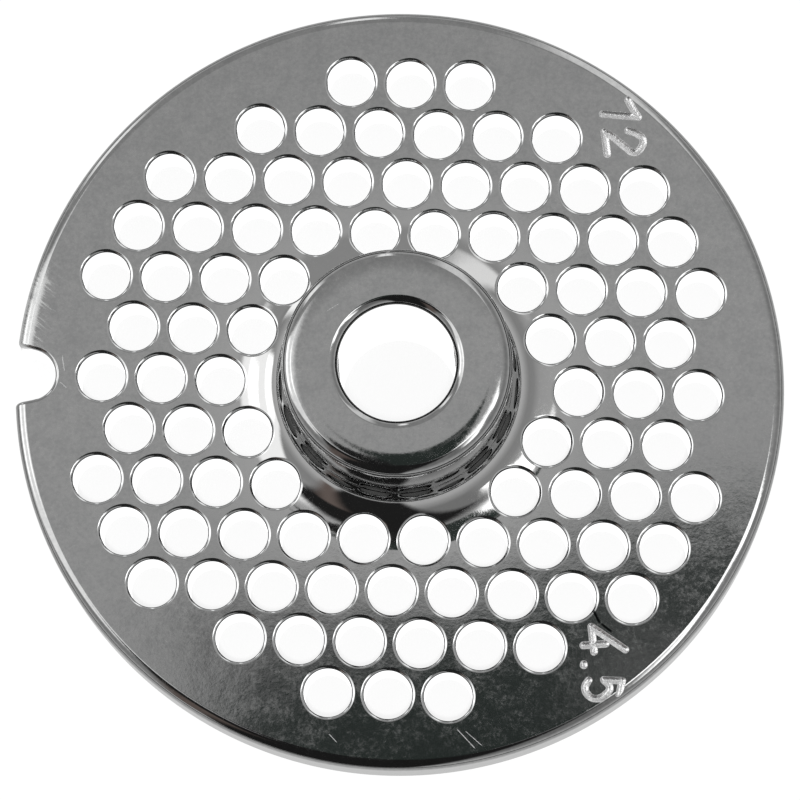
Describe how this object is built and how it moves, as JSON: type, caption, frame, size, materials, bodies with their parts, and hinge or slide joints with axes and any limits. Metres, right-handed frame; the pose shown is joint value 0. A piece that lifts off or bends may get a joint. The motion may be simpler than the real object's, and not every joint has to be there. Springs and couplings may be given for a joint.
{
  "type": "meat grinder plate",
  "caption": "Round perforated steel disc with a raised central hub, a through bore, straight round holes in a triangular pattern and a locating notch in its rim.",
  "frame": {"origin": "centre of the bore at the disc's flat back face", "axes": "+Z along the bore, from the flat back face towards the raised hub; +X along the rows of holes, away from the locating notch; +Y completes the right-handed set"},
  "size_m": [0.0699, 0.07, 0.018],
  "materials": {
    "polished_steel": "polished stainless steel with light handling scratches"
  },
  "bodies": {
    "root": {"grinder_plate": "polished_steel"}
  },
  "joints": []
}
